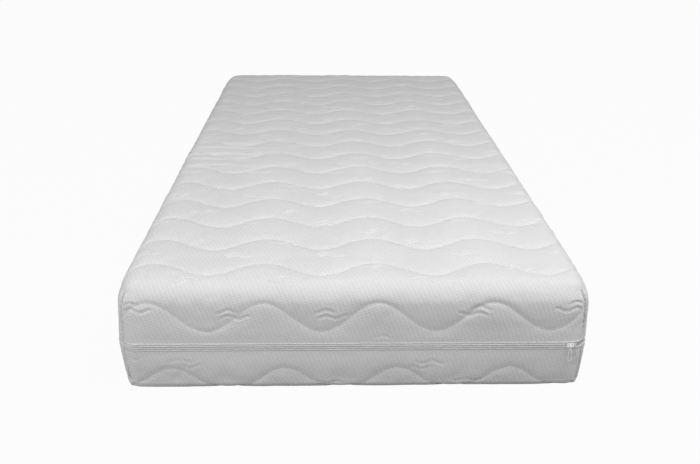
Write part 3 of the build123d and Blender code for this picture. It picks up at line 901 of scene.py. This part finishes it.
def blown_up(fine, cover, quilt, half):
    """How far the padding pushes out each point of the fabric: a cloth simulation on a coarser copy, held by
    its stitches, its corner seams and its hem, with its movement carried over to the fine mesh."""
    scene = bpy.context.scene
    step = cover.cloth_step
    coarse = HalfLattice(fine.top, step, cover, 1, HEM_OVERLAP)
    material = finish("wadding", lining_material, tuple(scene.mattress_colours.lining))
    pad = mesh_piece("pad", coarse.points.tolist(), coarse.faces()[0].tolist(), material)
    near = wave_distance(coarse.u, coarse.v, quilt, half)[0]
    rim = coarse.drop[0][-1] - coarse.down < 0.5 * step
    held = np.flatnonzero((near < 0.5 * step) | (coarse.seam < 0.6 * step) | rim)
    pad.vertex_groups.new(name="held").add(held.tolist(), 1.0, "REPLACE")
    pick(pad)
    cloth = pad.modifiers.new("Cloth", "CLOTH")
    settings = cloth.settings
    settings.quality = 5
    settings.vertex_group_mass = "held"
    settings.use_pressure = True
    settings.uniform_pressure_force = cover.pressure
    settings.shrink_min = -0.012
    settings.effector_weights.gravity = 0
    cloth.point_cache.frame_end = CLOTH_FRAMES
    for number in range(1, CLOTH_FRAMES + 1):
        scene.frame_set(number)
    bpy.ops.object.modifier_apply(modifier=cloth.name)
    moved = np.empty(len(coarse.points) * 3)
    pad.data.vertices.foreach_get("co", moved)
    bpy.data.objects.remove(pad)
    scene.frame_set(1)
    outward = ((moved.reshape(-1, 3) - coarse.points) * coarse.out).sum(1)
    if not np.isfinite(outward).all():
        raise RuntimeError("the padding's cloth simulation did not settle")
    outward = cover.puff_limit * np.tanh(outward / cover.puff_limit)
    return spread(outward, coarse, fine) * (1 - 0.8 * bell(fine.edge_distance(), 16 * MM))


def fabric_points(lattice, cover, quilt, half):
    """The quilted outer face of one half."""
    puff = blown_up(lattice, cover, quilt, half)
    relief = cloth_relief(lattice, cover, quilt, half, puff)
    near_zip, on_wall = lattice.zip_distance(), lattice.down > 0
    calm = 1 - bell(np.maximum(near_zip - 7 * MM, 0), 13 * MM)
    clear = 0.55 + 0.45 * np.clip((near_zip - 28 * MM) / (22 * MM), 0, 1)
    calm = np.where(on_wall, calm * np.where(relief > 0, clear, 1), 1)
    shift = relief * calm + wall_shape(lattice, cover)
    limit = PULL_CLEARANCE + 5 * MM * np.clip((near_zip - PULL_BAND) / (16 * MM), 0, 1) ** 2
    shift = np.where(on_wall, np.minimum(shift, limit), shift)
    points = lattice.points + lattice.out * shift[:, None]
    if not lattice.top:
        points[:, 2] = np.maximum(points[:, 2], 0)
    return points


# ---------------------------------------------------------------- bands round the zip


def perimeter(step):
    """Points round the cover's wall, counter-clockwise from the left foot corner, with outward directions."""
    flat_x, flat_y = HALF_WIDTH - PLAN_RADIUS, HALF_LENGTH - PLAN_RADIUS
    turns = max(8, round(PLAN_RADIUS * pi / 2 / step))
    base, out = [], []
    starts = ((-flat_x, -flat_y, flat_x, -flat_y, -90), (flat_x, -flat_y, flat_x, flat_y, 0),
              (flat_x, flat_y, -flat_x, flat_y, 90), (-flat_x, flat_y, -flat_x, -flat_y, 180))
    for x0, y0, x1, y1, facing in starts:
        steps = max(1, round(max(abs(x1 - x0), abs(y1 - y0)) / step))
        for part in range(steps):
            base.append((x0 + (x1 - x0) * part / steps, y0 + (y1 - y0) * part / steps))
            out.append((cos(radians(facing)), sin(radians(facing))))
        for part in range(turns):
            angle = radians(facing + 90 * part / turns)
            base.append((x1, y1))
            out.append((cos(angle), sin(angle)))
    base, out = np.array(base), np.array(out)
    face = base + out * PLAN_RADIUS
    length = np.concatenate([[0], np.cumsum(np.linalg.norm(np.diff(face, axis=0), axis=1))])
    return face, out, length


def corner_distance(face, out):
    """Distance along the wall from each point round it to the nearest corner seam."""
    turn = np.arctan2(np.abs(out[:, 1]), np.abs(out[:, 0]))
    beside_x, beside_y = HALF_WIDTH - np.abs(face[:, 0]), HALF_LENGTH - np.abs(face[:, 1])
    edge = np.where(turn < pi / 4, beside_y, beside_x) - PLAN_RADIUS
    on_arc = np.abs(turn - pi / 4) < pi / 4 - 0.001
    return np.where(on_arc, PLAN_RADIUS * np.abs(turn - pi / 4), edge + PLAN_RADIUS * pi / 4)


def swept_band(name, section, side, material, step, sway):
    """A closed band round the wall. section lists (depth in from the face, distance from the zip's line), and
    sway(length, distance) tells how far each point of it stands out of that."""
    face, out, length = perimeter(step)
    count, points = len(face), len(section)
    depth, away = (np.tile(values, (count, 1)) for values in zip(*section))
    depth = depth - sway(length[:, None], away)
    x, y = (face[:, axis:axis + 1] - out[:, axis:axis + 1] * depth for axis in (0, 1))
    verts = np.stack([x, y, ZIP_HEIGHT + side * away], 2).reshape(-1, 3)
    ring, place = np.meshgrid(np.arange(count), np.arange(points), indexing="ij")
    following, beside = (ring + 1) % count, (place + 1) % points
    quads = np.stack([ring * points + place, following * points + place,
                      following * points + beside, ring * points + beside], 2).reshape(-1, 4)
    girth = np.concatenate([[0], np.cumsum(np.hypot(*np.diff(np.array(section + section[:1]), axis=0).T))])
    long_end = np.append(length, length[-1] + step)
    corners = ((0, 0), (1, 0), (1, 1), (0, 1))
    cloth = np.stack([np.stack([long_end[ring + a], girth[place + b]], 2) for a, b in corners], 2)
    cloth = cloth.reshape(-1, 4, 2)
    if side < 0:
        quads, cloth = quads[:, ::-1], cloth[:, ::-1]
    return mesh_piece(name, verts.tolist(), quads.tolist(), material, cloth.reshape(-1, 2))


# ---------------------------------------------------------------- operators


LIGHTS = (  # name, place, aim, size, power
    ("key", (1.0, -1.2, 2.5), (0.0, -0.45, 0.1), 1.8, 38.0),
    ("fill", (-1.4, -2.8, 1.4), (-0.1, -0.9, 0.1), 1.6, 22.0),
    ("right", (2.6, -1.1, 0.7), (0.4, -0.5, 0.1), 1.4, 8.0),
    ("left", (-2.6, -1.1, 0.7), (-0.4, -0.5, 0.1), 1.4, 5.0),
)
CAMERA_PLACE = (-0.0437, -2.4605, 0.8967)
CAMERA_TILT, CAMERA_TURN, CAMERA_ROLL = 68.71, -1.348, 0.332  # degrees
BACKDROP = (0.996, 0.996, 0.996, 1)


def split_rays(tree, plain, grey, seen, output, share):
    """One shader for the light that falls on it, and the plain backdrop for what the camera sees."""
    tree.nodes.clear()
    plain, seen, output = (tree.nodes.new(f"ShaderNode{kind}") for kind in (plain, seen, output))
    plain.inputs["Color"].default_value = (grey, grey, grey, 1)
    seen.inputs["Color"].default_value = BACKDROP
    ray = tree.nodes.new("ShaderNodeLightPath")
    mixed = tree.nodes.new("ShaderNodeMixShader")
    tree.links.new(math_node(tree, "MULTIPLY", ray.outputs["Is Camera Ray"], share), mixed.inputs["Fac"])
    tree.links.new(plain.outputs[0], mixed.inputs[1])
    tree.links.new(seen.outputs[0], mixed.inputs[2])
    tree.links.new(mixed.outputs[0], output.inputs["Surface"])
    return plain


class MATTRESS_OT_stage(bpy.types.Operator):
    """Camera, pale floor and soft studio light"""

    bl_idname = "mattress.stage"
    bl_label = "Stage"

    def execute(self, context):
        scene = context.scene
        data = bpy.data.cameras.new("camera")
        data.lens = 45.05
        data.sensor_width = 36
        data.clip_end = 50
        camera = bpy.data.objects.new("camera", data)
        scene.collection.objects.link(camera)
        aim = Euler((radians(CAMERA_TILT), 0, radians(CAMERA_TURN))).to_matrix()
        turned = (aim @ Matrix.Rotation(radians(CAMERA_ROLL), 3, "Z")).to_4x4()
        camera.matrix_world = Matrix.Translation(CAMERA_PLACE) @ turned
        scene.camera = camera

        deselect()
        bpy.ops.mesh.primitive_plane_add(size=60)
        floor = context.object
        floor.name = "floor"
        material = bpy.data.materials.new("floor")
        material.use_nodes = True
        split_rays(material.node_tree, "BsdfDiffuse", 0.28, "Emission", "OutputMaterial", 0.97)
        floor.data.materials.append(material)

        world = bpy.data.worlds.new("studio")
        world.use_nodes = True
        sky = split_rays(world.node_tree, "Background", 1.0, "Background", "OutputWorld", 1.0)
        sky.inputs["Strength"].default_value = 0.32
        scene.world = world

        for name, place, aim, size, power in LIGHTS:
            data = bpy.data.lights.new(name, "AREA")
            data.shape = "DISK"
            data.size = size
            data.energy = power
            lamp = bpy.data.objects.new(name, data)
            scene.collection.objects.link(lamp)
            lamp.location = place
            lamp.rotation_euler = (Vector(aim) - Vector(place)).to_track_quat("-Z", "Y").to_euler()
        scene.view_settings.view_transform = "Standard"
        return {"FINISHED"}


class MATTRESS_OT_cover_fabric(bpy.types.Operator):
    """The quilted knit of both cover halves"""

    bl_idname = "mattress.cover_fabric"
    bl_label = "Quilted fabric"

    def execute(self, context):
        scene = context.scene
        cover, quilt, colours = scene.mattress_cover, scene.mattress_quilt, scene.mattress_colours
        step = cover.fabric_step * 1
        for half, label, body in HALVES:
            top = half is TOP_QUILT
            spacing = step if top else 1.25 * step  # the underside needs less
            outer = HalfLattice(top, spacing, cover, 4, HEM_OVERLAP)
            inner = HalfLattice(top, spacing, cover, 4, HEM_OVERLAP, every=4)
            material = finish(f"{label} quilted knit", knit_material, tuple(colours.knit), quilt, half)
            past_hem = np.clip((inner.drop[0][-1] - inner.down - HEM_OVERLAP) / (6 * MM), 0, 1)
            depth = FABRIC_DEPTH + (SCRIM_DEPTH - 2.3 * MM) * past_hem
            face = fabric_points(outer, cover, quilt, half)
            back = inner.points + inner.out * (wall_shape(inner, cover) - depth)[:, None]
            back[:, 2] = np.maximum(back[:, 2], 2 * MM)
            piece = shell_piece(f"{label}_quilted_fabric", outer, face, inner, back, material)
            settle(piece, body, "quilted_knit", f"{label}_cover_fabric")
        return {"FINISHED"}


class MATTRESS_OT_linings(bpy.types.Operator):
    """Wadding and scrim behind the fabric of both halves"""

    bl_idname = "mattress.linings"
    bl_label = "Wadding and scrim"

    def execute(self, context):
        scene = context.scene
        cover, quilt, colours = scene.mattress_cover, scene.mattress_quilt, scene.mattress_colours
        white = tuple(colours.lining)
        for half, label, body in HALVES:
            lattice = HalfLattice(half is TOP_QUILT, cover.lining_step, cover)
            sewn = np.exp(-wave_distance(lattice.u, lattice.v, quilt, half)[0] / (8 * MM))
            shape = wall_shape(lattice, cover)
            layers = (  # each with the depths of its front and its back
                ("wadding", white, SCRIM_DEPTH - 1.1 * MM, SCRIM_DEPTH),
                ("scrim", tuple(0.93 * part for part in white), SCRIM_DEPTH + 0.1 * MM,
                 SCRIM_DEPTH + 0.8 * MM - 0.45 * MM * sewn),
            )
            for name, colour, *depths in layers:
                front, back = (lattice.points + lattice.out * (shape - depth)[:, None] for depth in depths)
                material = finish(name, lining_material, colour)
                piece = shell_piece(f"{label}_{name}", lattice, front, lattice, back, material)
                settle(piece, body, name, f"{label}_cover_{name}")
        return {"FINISHED"}


HEM_BACK = TAPE_DEPTH - 0.6 * MM
# The hems' outlines round the fold: depth past the pull of the zip, and height past the fold's edge
HEM_FOLDS = {
    1: ((-0.2, 1.1), (-0.35, 0.7), (-0.2, 0.2), (0.3, -0.1)),
    -1: ((-0.4, 1.5), (-0.8, 0.9), (-0.6, 0.1), (0.1, -0.3)),
}
TAPE_EDGE = 0.6 * MM  # from the zip's line to the tape's edge
TAPE_SECTION = [
    (TAPE_DEPTH + 0.6 * MM, HEM_TOP), (TAPE_DEPTH, HEM_TOP), (TAPE_DEPTH, 1.6 * MM),
    (TAPE_DEPTH - 0.15 * MM, 0.9 * MM), (TAPE_DEPTH, TAPE_EDGE), (TAPE_DEPTH + 0.6 * MM, TAPE_EDGE),
]


class MATTRESS_OT_hems(bpy.types.Operator):
    """The turned hems and the woven tapes on both sides of the zip"""

    bl_idname = "mattress.hems"
    bl_label = "Hems and tapes"

    def execute(self, context):
        scene = context.scene
        settings, colours, cover = scene.mattress_zip, scene.mattress_colours, scene.mattress_cover
        knit = finish("hem knit", knit_material, tuple(colours.knit), scene.mattress_quilt)
        tape = finish("zip tape", tape_material, tuple(colours.tape))
        inner = TAPE_DEPTH - 0.1 * MM
        face, out, _ = perimeter(settings.hem_step)
        drawn_in = corner_pull(corner_distance(face, out), 0, cover)[:, None]

        def puckered(length, away):
            wave = soft_noise(length, away, 0.016, 0.02, 31) + 0.6 * soft_noise(length, away, 0.05, 0.02, 32)
            near_fold = (away < HEM_EDGE + 1.1 * MM) & (away != HEM_EDGE)
            return settings.hem_pucker * wave * near_fold - drawn_in

        def plain(length, away):
            return np.zeros_like(away) - drawn_in

        for side, label, body in ROWS:
            start = HEM_EDGE + (1.4 if side > 0 else 1.8) * MM
            fold = [(cover.hem_pull + depth * MM, HEM_EDGE + away * MM) for depth, away in HEM_FOLDS[side]]
            section = [(inner, HEM_TOP), (HEM_BACK, HEM_TOP), (HEM_BACK, start), *fold, (inner, HEM_EDGE)]
            for name, outline, sway, material, slot, node in (
                ("turned_hem", section, puckered, knit, "hem_fabric", "hem"),
                ("woven_tape", TAPE_SECTION, plain, tape, "zip_tape", "zip_tape"),
            ):
                band = swept_band(f"{label}_{name}", outline, side, material, settings.hem_step, sway)
                shade(band, material, 40)
                settle(band, body, slot, f"{label}_{node}")
        return {"FINISHED"}


def chain_gaps(side):
    """Where a row of teeth ends on the foot wall, starts on the right, and stops and starts on the left."""
    front_low, front_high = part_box("front_zip_slider")
    side_low, side_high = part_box("side_zip_slider")
    row_end = front_low.x - STOP_GAP if side > 0 else front_high.x
    corner_end = -HALF_LENGTH + PLAN_RADIUS + 2 * STOP_GAP + STOP_LENGTH
    start = side_low.y - 2 * STOP_LENGTH - 3 * STOP_GAP
    end = side_high.y + STOP_GAP if side > 0 else side_low.y
    return row_end, corner_end, start, end


def has_tooth(gaps, x, y):
    """Whether a row has a tooth at a place on the wall."""
    row_end, corner_end, start, end = gaps
    if y < -HALF_LENGTH + PLAN_RADIUS:
        return x <= row_end
    return y >= corner_end if x > 0 else not start < y < end


class MATTRESS_OT_zip_teeth(bpy.types.Operator):
    """The coils of both rows and their metal stops"""

    bl_idname = "mattress.zip_teeth"
    bl_label = "Coils and stops"

    def execute(self, context):
        scene = context.scene
        settings, colours = scene.mattress_zip, scene.mattress_colours
        coil = finish("zip coil", coil_material, tuple(colours.coil))
        metal = finish("zip metal", metal_material, tuple(colours.metal))
        low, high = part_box("upper_zip_teeth")
        near, far = low.z - ZIP_HEIGHT, high.z - ZIP_HEIGHT
        tooth = block("tooth", (-0.45 * settings.tooth_pitch, near, TEETH_DEPTH),
                      (0.45 * settings.tooth_pitch, far, TAPE_DEPTH - 0.05 * MM))
        apply_modifier(tooth, "BEVEL", width=0.4 * MM, segments=1)
        shape = np.array([v.co for v in tooth.data.vertices])
        loops = [list(face.vertices) for face in tooth.data.polygons]
        bpy.data.objects.remove(tooth)
        face, out, _ = perimeter(settings.tooth_pitch)
        pulled = corner_pull(corner_distance(face, out), 0, scene.mattress_cover)
        for side, label, body in ROWS:
            points, faces = [], []
            gaps = chain_gaps(side)
            for (x, y), (out_x, out_y), inward in zip(face, out, pulled):
                if not has_tooth(gaps, x, y):
                    continue
                start = len(points)
                along, away, depth = shape.T + [[0], [0], [inward]]
                slant = along + 0.25 * (away - near) * side
                row_x = x - out_x * depth - out_y * slant
                row_y = y - out_y * depth + out_x * slant
                row_z = ZIP_HEIGHT + side * away
                points.extend(np.stack([row_x, row_y, row_z], 1).tolist())
                order = 1 if side < 0 else -1
                faces.extend([start + i for i in loop[::order]] for loop in loops)
            piece = mesh_piece(f"{label}_coil", points, faces, coil, smooth=False)
            settle(piece, body, "zip_teeth", f"{label}_zip_teeth")
            stops = finished_copy(f"{label}_zip_stops", f"{label}_stops", metal, 0.25 * MM)
            settle(stops, body, "zip_metal", f"{label}_zip_stops")
        return {"FINISHED"}


def finished_copy(node, name, material, bevel, segments=2, angle=35):
    """A copy of a plain node with its loose triangles merged and its edges eased."""
    piece = bpy.data.objects.new(name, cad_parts[node].data.copy())
    piece.data.name = name
    bpy.context.scene.collection.objects.link(piece)
    pick(piece)
    bpy.ops.object.mode_set(mode="EDIT")
    bpy.ops.mesh.select_all(action="SELECT")
    bpy.ops.mesh.remove_doubles(threshold=0.01 * MM)
    bpy.ops.mesh.dissolve_limited(angle_limit=radians(1))
    bpy.ops.object.mode_set(mode="OBJECT")
    apply_modifier(
        piece, "BEVEL", width=bevel, segments=segments, limit_method="ANGLE", angle_limit=radians(30))
    return shade(piece, material, angle)


class MATTRESS_OT_sliders(bpy.types.Operator):
    """Both sliders and their pulls"""

    bl_idname = "mattress.sliders"
    bl_label = "Sliders and pulls"

    def execute(self, context):
        metal = finish("zip metal", metal_material, tuple(context.scene.mattress_colours.metal))
        for place in ("front", "side"):
            slider = finished_copy(f"{place}_zip_slider", f"{place}_slider", metal, 0.25 * MM)
            settle(slider, f"{place}_slider", "zip_metal", f"{place}_zip_slider")
            pull = finished_copy(f"{place}_zip_pull", f"{place}_pull_tab", metal, 0.22 * MM)
            settle(pull, f"{place}_pull", "zip_metal", f"{place}_zip_pull")
        return {"FINISHED"}


class MATTRESS_OT_corner_seams(bpy.types.Operator):
    """The seam allowances inside the cover's corners"""

    bl_idname = "mattress.corner_seams"
    bl_label = "Corner seams"

    def execute(self, context):
        scene = context.scene
        knit = finish("hem knit", knit_material, tuple(scene.mattress_colours.knit), scene.mattress_quilt)
        for label, body in (("top", COVER_BODY), ("bottom", CORE_BODY)):
            seams = finished_copy(f"{label}_corner_seams", f"{label}_seam_allowances", knit, 0.5 * MM)
            settle(seams, body, "seam_fabric", f"{label}_corner_seams")
        return {"FINISHED"}


FOAMS = {
    "foam_base": ("base foam", "base_foam"),
    "left_side_bolster": ("bolster foam", "bolster_foam"),
    "right_side_bolster": ("bolster foam", "bolster_foam"),
    "foam_heel_zone": ("soft foam", "soft_foam"),
    "foam_leg_zone": ("medium foam", "zone_foam"),
    "foam_seat_zone": ("soft foam", "soft_foam"),
    "foam_torso_zone": ("medium foam", "zone_foam"),
    "foam_head_zone": ("soft foam", "soft_foam"),
}


class MATTRESS_OT_foam(bpy.types.Operator):
    """The foam base, the bolsters and the five zones of cells"""

    bl_idname = "mattress.foam"
    bl_label = "Foam core"

    def execute(self, context):
        colours = context.scene.mattress_colours
        squeeze = context.scene.mattress_cover.foam_squeeze
        squeeze_x, squeeze_y = 1 - squeeze / HALF_WIDTH, 1 - squeeze / HALF_LENGTH
        for node, (name, slot) in FOAMS.items():
            material = finish(name, foam_material, tuple(getattr(colours, slot)))
            foam = finished_copy(node, f"{node}_foam", material, 3 * MM, 3, 50)
            foam.data.transform(Matrix.Diagonal((squeeze_x, squeeze_y, 1, 1)))
            settle(foam, CORE_BODY, slot, node)
        return {"FINISHED"}


OPERATORS = (
    MATTRESS_OT_stage,
    MATTRESS_OT_cover_fabric,
    MATTRESS_OT_linings,
    MATTRESS_OT_corner_seams,
    MATTRESS_OT_hems,
    MATTRESS_OT_zip_teeth,
    MATTRESS_OT_sliders,
    MATTRESS_OT_foam,
)


class MATTRESS_PT_panel(bpy.types.Panel):
    """The mattress's pieces, one button each"""

    bl_label = "Mattress"
    bl_idname = "MATTRESS_PT_panel"
    bl_space_type = "VIEW_3D"
    bl_region_type = "UI"
    bl_category = "Mattress"

    def draw(self, context):
        for operator in OPERATORS:
            self.layout.operator(operator.bl_idname)
        for name, group in SETTINGS.items():
            box = self.layout.box()
            box.label(text=group.__doc__)
            for key in group.__annotations__:
                box.prop(getattr(context.scene, name), key)


def register():
    """Registers the settings, the operators and the panel."""
    for name, group in SETTINGS.items():
        bpy.utils.register_class(group)
        setattr(bpy.types.Scene, name, PointerProperty(type=group))
    for operator in OPERATORS:
        bpy.utils.register_class(operator)
    bpy.utils.register_class(MATTRESS_PT_panel)


def unregister():
    """Removes the panel, the operators and the settings."""
    bpy.utils.unregister_class(MATTRESS_PT_panel)
    for operator in reversed(OPERATORS):
        bpy.utils.unregister_class(operator)
    for name, group in SETTINGS.items():
        delattr(bpy.types.Scene, name)
        bpy.utils.unregister_class(group)


def main():
    """Builds every piece in order."""
    register()
    for operator in OPERATORS:
        category, name = operator.bl_idname.split(".")
        getattr(getattr(bpy.ops, category), name)()


if __name__ == "__main__":
    main()
